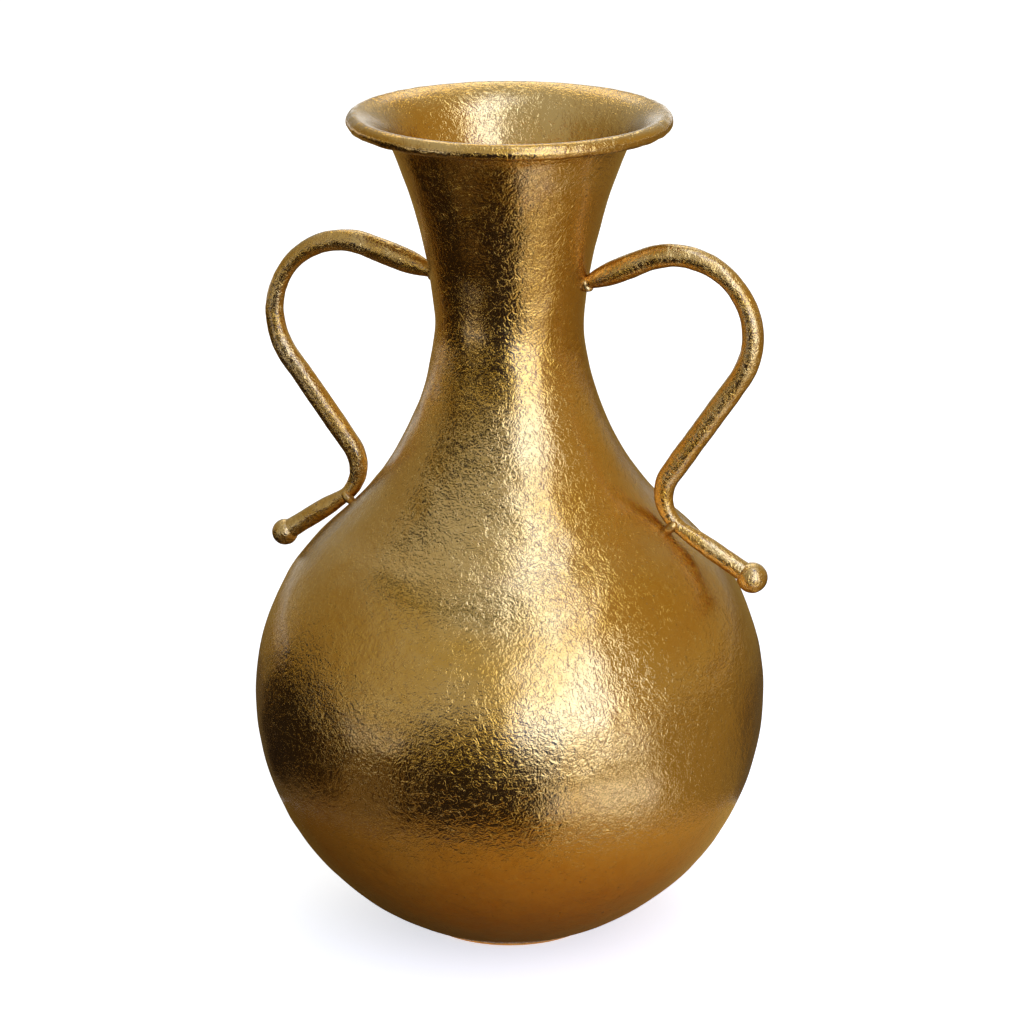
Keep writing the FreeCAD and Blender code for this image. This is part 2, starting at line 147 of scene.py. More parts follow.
def remap(tree, value, low, high, toLow=0.0, toHigh=1.0):
    made = node(tree, "ShaderNodeMapRange", {"From Min": low, "From Max": high, "To Min": toLow,
                                             "To Max": toHigh}, interpolation_type="SMOOTHSTEP")
    tree.links.new(value, made.inputs["Value"])
    return made.outputs["Result"]


def mixColour(tree, share, first, second):
    # A Mix node keeps its colour sockets at 6 and 7, and its colour output at 2.
    made = node(tree, "ShaderNodeMix", data_type="RGBA")
    for index, value in ((0, share), (6, first), (7, second)):
        if isinstance(value, tuple):
            made.inputs[index].default_value = (*value, 1.0)
        else:
            feed(tree, value, made.inputs[index])
    return made.outputs[2]


def noise(tree, place, scale, detail, rough=0.5, distortion=0.0):
    made = node(tree, "ShaderNodeTexNoise",
                {"Detail": detail, "Roughness": rough, "Distortion": distortion})
    tree.links.new(place, made.inputs["Vector"])
    feed(tree, scale, made.inputs["Scale"])
    return made.outputs["Fac"]


def shifted(tree, place, offset):
    made = node(tree, "ShaderNodeMapping", {"Location": offset})
    tree.links.new(place, made.inputs["Vector"])
    return made.outputs["Vector"]


def objectPlace(tree):
    return node(tree, "ShaderNodeTexCoord").outputs["Object"]


def bumped(tree, height, target):
    bump = node(tree, "ShaderNodeBump", {"Strength": 1.0, "Distance": 1.0})
    tree.links.new(height, bump.inputs["Height"])
    tree.links.new(bump.outputs["Normal"], target)


foil = {
    # each pattern starts at a place of its own, so that no two line up
    "broadPlace": (0.13, 0.02, 0.07),
    "finePlace": (-0.21, 0.3, 0.11),
    "wormPlace": (0.4, 0.1, 0.2),
    "gatePlace": (0.7, 0.3, 0.5),
    "porePlace": (0.5, 0.2, 0.9),
    # scales of the patterns, as shares of the material's crease scale
    "broadScale": 0.8,
    "fineScale": 1.5,
    "wormScale": 1.0,
    "crumpleScale": 0.45,
    # how much each pattern adds to the height, in crease heights
    "broadHeight": 3.2,
    "fineHeight": 1.5,
    "crumpleHeight": 2.5,
    "wormHeight": 0.38,
    "grainHeight": 0.30,
    "foldTwist": 0.9,            # how far the folds wander
    "foldMiddle": 0.25,          # distance from the crest at which a fold adds nothing
    "wormWidth": 0.05,           # how far from its crest a worm-like crease reaches
    "wormBreaks": (0.44, 0.56),  # values of the noise between which such a crease breaks off
    "grainScale": 1300.0,
    "poreScale": 520.0,
    "poreRange": (0.70, 0.76),   # only the noise's few highest places are pores
    "patchRange": (0.36, 0.66),  # from bare leaf to the full glaze
    "lowShadeHeights": (0.005, 0.085),   # the painted shade low on the belly is full below the first, and gone at the second
    "shadeRun": -0.03,            # how far the patches pull such a height up and down
    "neckFrom": (0.245, 0.280),  # heights between which the painted neck shade sets in
    "neckTo": (0.355, 0.370),    # and between which it ends
    "mottleRange": (0.3, 0.7),
    "mottleShare": 0.16,
    "mottleTone": (0.80, 0.55, 0.20),    # brighter leaf where the foil is crumpled
    "patchRoughness": 0.12,
    "evenRoughness": 0.06,       # taken off the polish, which the patches give back
    "poreRoughness": 0.25,
}


def foilGroup():
    # Gold leaf laid over metal: short worm-like creases, fine grain, soft patches of tone and a few
    # dark pores, with painted shade low on the belly and round the neck
    group = bpy.data.node_groups.new("goldLeaf", "ShaderNodeTree")
    for name in ("Leaf", "Glaze", "Wash", "Painted Low Shade"):
        group.interface.new_socket(name=name, in_out="INPUT", socket_type="NodeSocketColor")
    for name in ("Crease Scale", "Crease Height", "Patch Scale", "Polish", "Pores", "Neck Shade"):
        group.interface.new_socket(name=name, in_out="INPUT", socket_type="NodeSocketFloat")
    for name, kind in (("Colour", "Color"), ("Roughness", "Float"), ("Normal", "Vector")):
        group.interface.new_socket(name=name, in_out="OUTPUT", socket_type="NodeSocket" + kind)
    inputs = group.nodes.new("NodeGroupInput").outputs
    outputs = group.nodes.new("NodeGroupOutput").inputs
    place = objectPlace(group)

    def creaseScale(share):
        return calculate(group, "MULTIPLY", inputs["Crease Scale"], share)

    def folds(spot, share):
        # sharp crests where a noise field crosses its middle value
        field = noise(group, shifted(group, place, spot), creaseScale(share), detail=1.0,
                      distortion=foil["foldTwist"])
        return calculate(group, "ABSOLUTE", calculate(group, "SUBTRACT", field, 0.5))

    broad = calculate(group, "SUBTRACT", foil["foldMiddle"], folds(foil["broadPlace"], foil["broadScale"]))
    fine = calculate(group, "SUBTRACT", foil["foldMiddle"], folds(foil["finePlace"], foil["fineScale"]))
    worm = remap(group, folds(foil["wormPlace"], foil["wormScale"]), 0.0, foil["wormWidth"], 1.0, 0.0)
    gate = noise(group, shifted(group, place, foil["gatePlace"]), inputs["Crease Scale"], detail=0.0)
    worm = calculate(group, "MULTIPLY", worm, remap(group, gate, *foil["wormBreaks"]))
    crumple = noise(group, place, creaseScale(foil["crumpleScale"]), detail=3.0, rough=0.6, distortion=0.6)
    grain = noise(group, place, foil["grainScale"], detail=2.0, rough=0.6)
    height = calculate(group, "MULTIPLY", fine, foil["fineHeight"])
    for pattern, amount in ((broad, "broadHeight"), (crumple, "crumpleHeight"), (worm, "wormHeight"),
                            (grain, "grainHeight")):
        height = calculate(group, "MULTIPLY_ADD", pattern, foil[amount], height)
    height = calculate(group, "MULTIPLY", height, inputs["Crease Height"])

    patch = noise(group, place, inputs["Patch Scale"], detail=3.0, rough=0.55, distortion=0.3)
    tone = mixColour(group, remap(group, patch, *foil["patchRange"]), inputs["Leaf"], inputs["Glaze"])
    # painted shade: darker and warmer low on the belly, standing in for the dim floor that it mirrors
    axes = node(group, "ShaderNodeSeparateXYZ")
    group.links.new(place, axes.inputs[0])
    level = calculate(group, "MULTIPLY_ADD", patch, foil["shadeRun"], axes.outputs["Z"])
    lowShadeMask = remap(group, level, *foil["lowShadeHeights"], 1.0, 0.0)
    tone = mixColour(group, lowShadeMask, tone, inputs["Painted Low Shade"])
    # painted shade: a band round the neck is taken towards the darker glaze colour
    paintedNeckShade = calculate(group, "MULTIPLY", remap(group, level, *foil["neckFrom"]),
                       remap(group, level, *foil["neckTo"], 1.0, 0.0))
    tone = mixColour(group, calculate(group, "MULTIPLY", paintedNeckShade, inputs["Neck Shade"]), tone,
                     inputs["Glaze"])
    mottle = remap(group, crumple, *foil["mottleRange"])
    tone = mixColour(group, calculate(group, "MULTIPLY", mottle, foil["mottleShare"]), tone,
                     foil["mottleTone"])
    poreField = noise(group, shifted(group, place, foil["porePlace"]), foil["poreScale"], detail=1.0)
    pore = calculate(group, "MULTIPLY", remap(group, poreField, *foil["poreRange"]), inputs["Pores"])
    group.links.new(mixColour(group, pore, tone, inputs["Wash"]), outputs["Colour"])

    rough = calculate(group, "SUBTRACT", inputs["Polish"], foil["evenRoughness"])
    rough = calculate(group, "MULTIPLY_ADD", patch, foil["patchRoughness"], rough)
    rough = calculate(group, "MULTIPLY_ADD", pore, foil["poreRoughness"], rough, clamp=True)
    group.links.new(rough, outputs["Roughness"])
    bumped(group, height, outputs["Normal"])
    return group


goldLeaf = foilGroup()

leafTones = {
    "Leaf": (0.69, 0.45, 0.15, 1),       # bright gold
    "Glaze": (0.62, 0.33, 0.035, 1),     # warmer, where the amber glaze is thicker, and the colour of the painted neck shade
    "Painted Low Shade": (0.50, 0.20, 0.004, 1),    # painted shade, darker and warmer low on the belly
    "Wash": (0.08, 0.04, 0.01, 1),       # dark wash caught in the pores
}
leafFinish = {
    # in each finish, the neck's value says how strongly the painted shade darkens the neck
    "giltSheet": {"Crease Scale": 330.0, "Crease Height": 0.00018, "Patch Scale": 12.0, "Polish": 0.18,
                  "Pores": 0.35, "Neck Shade": 0.75},
    "giltRod": {"Crease Scale": 400.0, "Crease Height": 0.00022, "Patch Scale": 60.0, "Polish": 0.21,
                "Pores": 0.8, "Neck Shade": 0.0},
    "giltBraze": {"Crease Scale": 500.0, "Crease Height": 0.00008, "Patch Scale": 120.0, "Polish": 0.30,
                  "Pores": 0.2, "Neck Shade": 0.0},
}
varnish = {
    "Specular Tint": (0.50, 0.42, 0.30, 1),    # the gold's own sheen, seen along the surface
    "Coat Weight": 1.0,
    "Coat Roughness": 0.25,
    "Coat IOR": 1.6,
}


def newMaterial(name):
    material = bpy.data.materials.new(name)
    material.use_nodes = True
    return material, material.node_tree, material.node_tree.nodes["Principled BSDF"].inputs


def giltMaterial(name):
    material, tree, shader = newMaterial(name)
    leaf = tree.nodes.new("ShaderNodeGroup")
    leaf.node_tree = goldLeaf
    for key, value in {**leafTones, **leafFinish[name]}.items():
        leaf.inputs[key].default_value = value
    tree.links.new(leaf.outputs["Colour"], shader["Base Color"])
    tree.links.new(leaf.outputs["Roughness"], shader["Roughness"])
    tree.links.new(leaf.outputs["Normal"], shader["Normal"])
    shader["Metallic"].default_value = 1.0
    for key, value in varnish.items():
        shader[key].default_value = value
    return material


giltSheet = giltMaterial("giltSheet")
giltRod = giltMaterial("giltRod")
giltBraze = giltMaterial("giltBraze")

bareMetals = {
    "weldMetal": {"colour": (0.27, 0.20, 0.13), "roughness": 0.55, "scale": 700.0, "depth": 0.00015},
    "wireMetal": {"colour": (0.45, 0.43, 0.40), "roughness": 0.40, "scale": 1500.0, "depth": 0.00002},
    "hollowShade": 0.55,       # colour of the grain's hollows, as a share of the metal's
    "shadeRange": (0.35, 0.65),
    "glossRange": (0.3, 0.7),
    "rougher": 0.1,            # in the hollows
    "smoother": 0.05,          # on the crests
}


def plainMetal(name):
    # Bare metal with a fine grain, darker and rougher in its hollows, for what lies inside the vessel
    bare, metal = bareMetals, bareMetals[name]
    material, tree, shader = newMaterial(name)
    grain = noise(tree, objectPlace(tree), metal["scale"], detail=4.0, rough=0.6)
    hollow = tuple(bare["hollowShade"] * channel for channel in metal["colour"])
    tree.links.new(mixColour(tree, remap(tree, grain, *bare["shadeRange"]), hollow, metal["colour"]),
                   shader["Base Color"])
    tree.links.new(remap(tree, grain, *bare["glossRange"], metal["roughness"] + bare["rougher"],
                         metal["roughness"] - bare["smoother"]), shader["Roughness"])
    bumped(tree, calculate(tree, "MULTIPLY", grain, metal["depth"]), shader["Normal"])
    shader["Metallic"].default_value = 1.0
    return material


weldMetal = plainMetal("weldMetal")
wireMetal = plainMetal("wireMetal")
print("materials made")

vase = {
    "wall": 0.0012,            # thickness of the spun sheet
    "footRadius": 0.043,
    "footPlate": 0.0015,       # thickness of the base disc
    "footEdge": 0.0005,        # radius of its rounded lower edge
    "bellyRadius": 0.124,
    "waistRadius": 0.0354,
    "shoulderShare": 0.43,     # share of the way in from belly to waist that the rounded shoulder takes
    "shoulderAngle": math.radians(49.0),   # at which it gives way to the sweep up to the waist
    "waistLean": math.radians(4.1),        # lean of the outline at the waist seam
    "flareCurve": 0.265,       # radius of the neck's outline, and the angle that it runs through
    "flareAngle": math.radians(18.95),
    "lipCurve": 0.028,         # the same for the lip
    "lipAngle": math.radians(46.95),
    "wireRadius": 0.0027,      # of the wire inside the rim
    "curlGap": 0.00005,        # between the wire and the sheet that is curled round it
    "curlAngle": math.radians(284.0),
    "columns": 480,            # points round the vase
    "step": 0.0022,            # distance between rows of points, which is less on the lip and the curl
    "lipStep": 0.0015,
    "curlStep": 0.0006,
    "edgeRow": 0.00006,        # distance of the extra row at each edge
    "footFade": (0.004, 0.016),    # heights between which the hollows set in above the base disc
    "dentDepth": 0.00045,      # deepest hollow that the hammer left in the sheet
    "dentCell": 0.017,         # size of the large hollows and of the small ones
    "smallCell": 0.009,
    "dentMix": (0.62, 0.38),   # shares of the large and of the small
    "dentStart": 0.28,         # noise up to here leaves the sheet alone
    "dentSpan": 0.44,          # and this much above it gives the deepest hollow
    "dentGrowth": (0, 0.2, 1),     # places along an arc at which its three depths hold
    "lipDent": 0.8,            # depth early on the lip, as a share of the deepest
    "dressedWaist": 0.007,     # how far from the waist seam the two sheets were dressed into one line
    "rimDent": 0.0005,         # height of the short lumps in the rolled rim
    "rimLump": 0.005,
    "seeds": (3, 5, 7),        # large hollows, small hollows, lumps in the rim
}


def sectionPlaces(v):
    # Centres and lengths of the section's arcs. Each arc runs on from the one below in the same
    # direction, so its centre lies on the line through that one's centre and the point where they meet.
    p = {}
    p["equator"] = v["footPlate"] + math.sqrt(v["bellyRadius"]**2 - v["footRadius"]**2)
    narrowing = v["bellyRadius"] - v["waistRadius"]
    turn, lean = v["shoulderAngle"], v["waistLean"]
    p["shoulderCurve"] = narrowing * v["shoulderShare"] / (1 - math.cos(turn))
    p["sweepCurve"] = narrowing * (1 - v["shoulderShare"]) / (math.cos(lean) - math.cos(turn))
    p["shoulder"] = (v["bellyRadius"] - p["shoulderCurve"], p["equator"])
    join = (p["shoulder"][0] + p["shoulderCurve"] * math.cos(turn),
            p["equator"] + p["shoulderCurve"] * math.sin(turn))
    p["sweep"] = (join[0] + p["sweepCurve"] * math.cos(turn), join[1] + p["sweepCurve"] * math.sin(turn))
    p["waist"] = p["sweep"][1] - p["sweepCurve"] * math.sin(lean)
    p["flare"] = (v["waistRadius"] + v["flareCurve"] * math.cos(lean),
                  p["waist"] - v["flareCurve"] * math.sin(lean))
    p["flareEnd"] = lean + v["flareAngle"]
    reach = v["flareCurve"] - v["lipCurve"]
    p["lip"] = (p["flare"][0] - reach * math.cos(p["flareEnd"]),
                p["flare"][1] + reach * math.sin(p["flareEnd"]))
    p["lipEnd"] = p["flareEnd"] + v["lipAngle"]
    p["curlInside"] = v["wireRadius"] + v["curlGap"]
    reach = v["lipCurve"] - p["curlInside"]
    p["wire"] = (p["lip"][0] - reach * math.cos(p["lipEnd"]), p["lip"][1] + reach * math.sin(p["lipEnd"]))
    return p


places = sectionPlaces(vase)
print("section worked out")


def withEdgeRows(line):
    # The line with an extra point close to each end, which keeps the shading clean up to the edge
    head = line[0] + (line[1] - line[0]) * vase["edgeRow"] / np.linalg.norm(line[1] - line[0])
    tail = line[-1] + (line[-2] - line[-1]) * vase["edgeRow"] / np.linalg.norm(line[-2] - line[-1])
    return np.concatenate([line[:1], [head], line[1:-1], [tail], line[-1:]])


def withEndsTwice(values):
    # The values that go with those two extra points
    return np.concatenate([values[:1], values, values[-1:]])


def sheetWall(name, arcs, cadNode):
    # A spun sheet: arcs of one section turned about the Z axis. The second face lies one wall's thickness
    # from the first, outside each arc or inside it as its side says. Both are pushed in by the same
    # hollows, which fade out where the sheet meets another piece.
    wall = vase["wall"]
    first, second, inward, dent = [], [], [], []
    for index, (centre, radius, start, end, side, depths, step) in enumerate(arcs):
        line = arc(centre, radius, start, end, step)
        other = np.asarray(centre) + (line - centre) * (radius + side * wall) / radius
        skip = 1 if index else 0     # an arc after the first begins at the last one's end
        first.append(line[skip:])
        second.append(other[skip:])
        inward.append((other - line)[skip:] / wall)
        dent.append(np.interp(np.linspace(0, 1, len(line))[skip:], vase["dentGrowth"], depths))
    angle = fullTurn(vase["columns"])
    outer = spun(withEdgeRows(np.concatenate(first)), angle)
    inner = spun(withEdgeRows(np.concatenate(second)), angle)
    push = spun(withEndsTwice(np.concatenate(inward)), angle)
    dent = withEndsTwice(np.concatenate(dent))
    flat, z = outer.reshape(-1, 3), outer[:, :, 2]
    large, small, lumps = (valueNoise(flat, vase[cell], seed) for cell, seed in
                           zip(("dentCell", "smallCell", "rimLump"), vase["seeds"]))
    hollow = vase["dentMix"][0] * large + vase["dentMix"][1] * small
    hollow = np.clip((hollow - vase["dentStart"]) / vase["dentSpan"], 0, 1).reshape(z.shape)
    hollow = np.where(dent[:, None] < 0, lumps.reshape(z.shape), hollow)    # below zero on the rolled rim
    low, high = vase["footFade"]
    depth = hollow * dent[:, None] * np.clip((z - low) / (high - low), 0, 1)
    near = np.clip(vase["dressedWaist"] - np.abs(z - places["waist"]), 0, None)
    depth -= math.tan(vase["waistLean"]) * near**2 / (2 * vase["dressedWaist"])
    outer = outer + push * depth[:, :, None]
    inner = inner + push * depth[:, :, None]
    loop = np.concatenate([outer, inner[::-1]])
    faces = facesOfGrid(loop.shape[0], loop.shape[1], True).tolist()
    meshPiece(name, loop.reshape(-1, 3), faces, [cadNode], giltSheet)


def vaseWalls():
    # Each arc gives its centre, radius, first and last angle, the side on which its second face lies,
    # three depths of the hollows along it, and the distance between its rows.
    v, p = vase, places
    turn, lean = v["shoulderAngle"], v["waistLean"]
    flareEnd, lipEnd = p["flareEnd"], p["lipEnd"]
    bellyStart = -math.asin((p["equator"] - v["footPlate"]) / v["bellyRadius"])
    even = (v["dentDepth"],) * 3
    overLip = (v["dentDepth"], v["lipDent"] * v["dentDepth"], 0)
    overRim = (0, -v["rimDent"], -v["rimDent"])
    sheetWall("bowlWall", [
        ((0.0, p["equator"]), v["bellyRadius"], bellyStart, 0.0, -1, even, v["step"]),
    ], "bowl")
    sheetWall("shoulderWall", [
        (p["shoulder"], p["shoulderCurve"], 0.0, turn, -1, even, v["step"]),
        (p["sweep"], p["sweepCurve"], pi + turn, pi + lean, 1, even, v["step"]),
    ], "shoulder")
    sheetWall("neckWall", [
        (p["flare"], v["flareCurve"], pi - lean, pi - flareEnd, 1, even, v["step"]),
        (p["lip"], v["lipCurve"], pi - flareEnd, pi - lipEnd, 1, overLip, v["lipStep"]),
        (p["wire"], p["curlInside"], pi - lipEnd, pi - lipEnd - v["curlAngle"], 1, overRim, v["curlStep"]),
    ], "neck")


vaseWalls()
print("walls made")

base = {
    "ringPoints": 192,
    "rings": 20,               # rings across each face
    "innerRing": 0.002,        # radius of the smallest, and the step in from the edge of the top
    "edgeStep": 0.00015,
    "edgeRow": 0.0001,         # distance of the extra ring beside an edge, and half of it up the side
}


def baseDisc():
    # Rings from the middle of the underside, round the rounded edge, to the middle of the top
    r, h, e = vase["footRadius"], vase["footPlate"], vase["footEdge"]
    count, inner, row = base["rings"], base["innerRing"], base["edgeRow"]
    line = np.concatenate([np.stack([np.linspace(inner, r - e - row, count), np.zeros(count)], axis=1),
                           arc((r - e, e), e, -pi / 2, 0.0, base["edgeStep"]),
                           [[r, h - row / 2], [r, h], [r - row, h]],
                           np.stack([np.linspace(r - inner, inner, count), np.full(count, h)], axis=1)])
    points, faces = ringsToMesh(spun(line, fullTurn(base["ringPoints"])), (0, 0, 0), (0, 0, h))
    meshPiece("baseDiscPlate", points, faces, ["base_disc"], giltSheet)


baseDisc()

handle = {
    "tipAboveWaist": 0.02175,
    "tipSunk": 0.0018,         # how far the rod's end goes into the neck's wall
    "tipRadius": 0.0030,       # at the neck
    "tipLength": 0.004,        # over which the rod gets thicker by the tip's growth
    "tipGrowth": 0.0006,
    "rootStart": 0.0125,       # where the forged swelling begins
    "rootRadius": 0.0060,
    "rootShares": (0.97, 1.0, 0.99),    # thickness at its start, at its fullest and where the bow begins
    "rootFullest": 0.75,       # share of the way to the bow at which it is fullest
    "bowReach": 0.0465,        # from the waist's wall out to the bow's centre
    "bowRadius": 0.0372,
    "bowAngle": math.radians(75.0),    # from the bow's start to its thinnest place
    "crookLead": math.radians(3.2),    # how far up the sweep the crook stands above the rounded shoulder
    "crookRadius": 0.019,
    "crookGap": 0.0004,        # between the crook and the shoulder
    "crookThickness": 0.0037,  # half of the rod's thickness there, and on the tail
    "tailThickness": 0.0049,
    "tailSwell": 0.012,        # distance over which the tail gets thicker
    "ballSeat": 0.003,         # how far the tail goes into its ball
    "spacing": 0.0007,         # distance between the rod's rings
    "ringPoints": 72,
    "samples": 600,            # places along the rod at which its thickness is worked out
    "softening": 15,           # places on each side over which the thickness is averaged
    "hammerDepth": 0.0004,     # deepest flat that the hammer left in the rod
    "hammerLength": 0.009,     # length of a flat
    "hammerCells": 7,          # flats round the rod
    "hammerMix": (0.7, 0.3),   # shares of the large flats and of the finer ones
    "hammerStart": 0.3,        # noise up to here leaves the rod round
    "hammerSpan": 0.45,        # and this much above it gives the deepest flat
    "hammerFade": 0.006,       # distance from each end of the rod over which the flats set in
    "finerFlats": (2.7, 1.9, 1.9),    # how much closer they stand along the rod and round it
    "notchShare": 0.25,        # short notches take this share of the depth
    "notchLength": 0.0019,
    "notchWidth": 0.6,         # how close they stand round the rod, as a share of the flats
}
# bearing round the vase, slope of the root, half thickness at the bow's outside and on the way back, slope
# and length of the tail, radius of the ball
left = {"bearing": pi, "rise": math.radians(17.5), "bow": 0.0042, "back": 0.00525,
        "droop": math.radians(34.6), "tail": 0.037, "ball": 0.00655, "seed": 11}
right = {"bearing": 0.0, "rise": math.radians(24.6), "bow": 0.00495, "back": 0.0056,
         "droop": math.radians(31.0), "tail": 0.0405, "ball": 0.0075, "seed": 23}


def onCircle(centre, radius, angle):
    return centre[0] + radius * math.cos(angle), centre[1] + radius * math.sin(angle)


def straight(start, end, step):
    # Points from one end to the other, just under a step apart
    count = int(math.hypot(end[0] - start[0], end[1] - start[1]) / step) + 2
    return np.stack([np.linspace(start[0], end[0], count), np.linspace(start[1], end[1], count)], axis=1)


def lengthsAlong(line):
    return np.linalg.norm(np.diff(line, axis=0), axis=1)


def rodLine(side):
    # The rod's centre line and half thickness, run by run: straight from the neck, round the bow, straight
    # back on the line that touches both circles, round the crook and straight along the tail
    h, v, p = handle, vase, places
    half, radius, crookRadius = pi / 2, h["bowRadius"], h["crookRadius"]
    rise, droop, step = side["rise"], side["droop"], h["spacing"]
    tipZ = p["waist"] + h["tipAboveWaist"]
    tipX = p["flare"][0] - math.sqrt(v["flareCurve"]**2 - (tipZ - p["flare"][1])**2)
    bowX = v["waistRadius"] + h["bowReach"]
    startX = bowX - radius * math.sin(rise)
    startZ = tipZ + (startX - tipX) * math.tan(rise)
    bow = (bowX, startZ - radius * math.cos(rise))
    crookAngle = v["shoulderAngle"] - h["crookLead"]
    depth = p["sweepCurve"] - h["crookGap"] - h["crookThickness"] - crookRadius
    crook = onCircle(p["sweep"], -depth, crookAngle)
    span = math.hypot(crook[0] - bow[0], crook[1] - bow[1])
    back = (math.atan((crook[0] - bow[0]) / (bow[1] - crook[1])) - half
            - math.asin((radius + crookRadius) / span))
    contact = crookAngle - half
    tailStart = onCircle(crook, crookRadius, -droop - half)
    tailEnd = onCircle(tailStart, side["tail"] - h["ballSeat"], -droop)

    runs = [straight(onCircle((tipX, tipZ), -h["tipSunk"], rise), (startX, startZ), step),
            arc(bow, radius, rise + half, back + half, step),
            straight(onCircle(bow, radius, back + half), onCircle(crook, crookRadius, back - half), step),
            arc(crook, crookRadius, back - half, -droop - half, step),
            straight(tailStart, tailEnd, step)]
    line = np.concatenate([runs[0]] + [part[1:] for part in runs[1:]])
    marks = np.cumsum([0.0] + [lengthsAlong(part).sum() for part in runs])
    along = np.concatenate([[0.0], np.cumsum(lengthsAlong(line))])
    bowStart, bowEnd, backEnd, tailMark, rodEnd = marks[1:]
    rootFirst, rootFull, rootLast = (share * h["rootRadius"] for share in h["rootShares"])
    knots = [(0.0, h["tipRadius"]), (h["tipLength"], h["tipRadius"] + h["tipGrowth"]),
             (h["rootStart"], rootFirst), (bowStart * h["rootFullest"], rootFull), (bowStart, rootLast),
             (bowStart + h["bowAngle"] * radius, side["bow"]), (bowEnd, side["back"]),
             (backEnd, side["back"]), (backEnd + (contact - back) * crookRadius, h["crookThickness"]),
             (tailMark, h["crookThickness"]), (tailMark + h["tailSwell"], h["tailThickness"]),
             (rodEnd, h["tailThickness"])]
    where, size = np.array(knots).T
    fine = np.linspace(0, rodEnd, h["samples"])
    thick = np.interp(fine, where, size)
    # a running mean over a few millimetres rounds the corners of the thickness
    width = h["softening"]
    padded = np.concatenate([np.full(width, thick[0]), thick, np.full(width, thick[-1])])
    window = np.ones(2 * width + 1) / (2 * width + 1)
    soft = np.minimum(np.convolve(padded, window, mode="same")[width:-width], thick)
    return line, along, np.interp(along, fine, soft), tailEnd, crookAngle, (tipX, tipZ)


def hammered(along, angle, seed):
    # Flats left by the hammer: noise over the length and the turn, squeezed so that it makes facets
    h = handle
    shape = (len(along), len(angle))
    around = np.stack([np.cos(angle), np.sin(angle)]) * h["hammerCells"] / (2 * pi)
    spot = np.stack([np.repeat(along[:, None], shape[1], axis=1) / h["hammerLength"],
                     np.repeat(around[:1], shape[0], axis=0),
                     np.repeat(around[1:], shape[0], axis=0)], axis=2).reshape(-1, 3)
    notches = (h["hammerLength"] / h["notchLength"], h["notchWidth"], h["notchWidth"])
    field = valueNoise(spot, 1.0, seed)
    fine = valueNoise(spot * h["finerFlats"], 1.0, seed + 1)
    notch = valueNoise(spot * notches, 1.0, seed + 2)
    mixed = h["hammerMix"][0] * field + h["hammerMix"][1] * fine
    flats = np.clip((mixed - h["hammerStart"]) / h["hammerSpan"], 0, 1)
    return (h["hammerDepth"] * ((1 - h["notchShare"]) * flats + h["notchShare"] * notch)).reshape(shape)


def turned(points, bearing):
    # The points turned about the Z axis, by the plain rotation of x and y
    x = points[..., 0] * math.cos(bearing) - points[..., 1] * math.sin(bearing)
    y = points[..., 0] * math.sin(bearing) + points[..., 1] * math.cos(bearing)
    return np.stack([x, y, points[..., 2]], axis=-1)


def heldOut(points):
    # Where a point would come through the sheet, it stops in the middle of its thickness: in the neck above
    # the waist, and in the shoulder below it. Both walls are arcs round centres outside the vase.
    half = vase["wall"] / 2
    z = points[..., 2]

    def middleOfWall(centre, radius):
        return centre[0] - np.sqrt(np.clip((radius + half)**2 - (z - centre[1])**2, 0, None))

    least = np.where(z > places["waist"], middleOfWall(places["flare"], vase["flareCurve"]),
                     middleOfWall(places["sweep"], places["sweepCurve"]))
    share = np.maximum(least / np.hypot(points[..., 0], points[..., 1]), 1)
    return points * np.stack([share, share, np.ones_like(share)], axis=-1)


def rodPiece(name, side, cadNode):
    # A ring of points square to the centre line at each step, in by the hammer's flats
    line, along, thick, tailEnd, crookAngle, tip = rodLine(side)
    tangent = np.gradient(line, axis=0)
    tangent /= np.linalg.norm(tangent, axis=1)[:, None]
    up = np.stack([-tangent[:, 1], tangent[:, 0]], axis=1)
    angle = fullTurn(handle["ringPoints"])
    ends = np.clip(np.minimum(along, along[-1] - along) / handle["hammerFade"], 0, 1)
    radius = thick[:, None] - hammered(along, angle, side["seed"]) * ends[:, None]
    x = line[:, None, 0] + up[:, None, 0] * radius * np.cos(angle)
    z = line[:, None, 1] + up[:, None, 1] * radius * np.cos(angle)
    rings = np.stack([x, radius * np.sin(angle), z], axis=2)
    neckEnd = along < handle["rootStart"]
    rings[neckEnd] = heldOut(rings[neckEnd])
    poles = np.array([[line[0, 0], 0, line[0, 1]], [line[-1, 0], 0, line[-1, 1]]])
    poles[0] = heldOut(poles[0])
    points, faces = ringsToMesh(turned(rings, side["bearing"]), *turned(poles, side["bearing"]))
    meshPiece(name, points, faces, [cadNode], giltRod)
    return tailEnd, crookAngle, tip


roundBody = {
    "rings": 48,
    "ringPoints": 72,
    "poleGap": 0.03,           # angle between a pole and the first ring
    "lumpSize": 0.45,          # size of the lumps, as a share of the largest radius
    "ballRough": 0.03,         # depth of the lumps on a ball, as a share of its radius
}
# radii along the axis, across it and sideways, how lumpy the body is, and where it stands
tipBraze = {"radii": (0.0036, 0.0044, 0.0040), "rough": 0.18, "out": 0.0002, "up": -0.0004}
crookBead = {"radii": (0.0044, 0.0026, 0.0030), "rough": 0.15,
             "lift": 0.0022,       # of its middle above the shoulder
             "aside": -0.0030}     # towards the front side of the rod


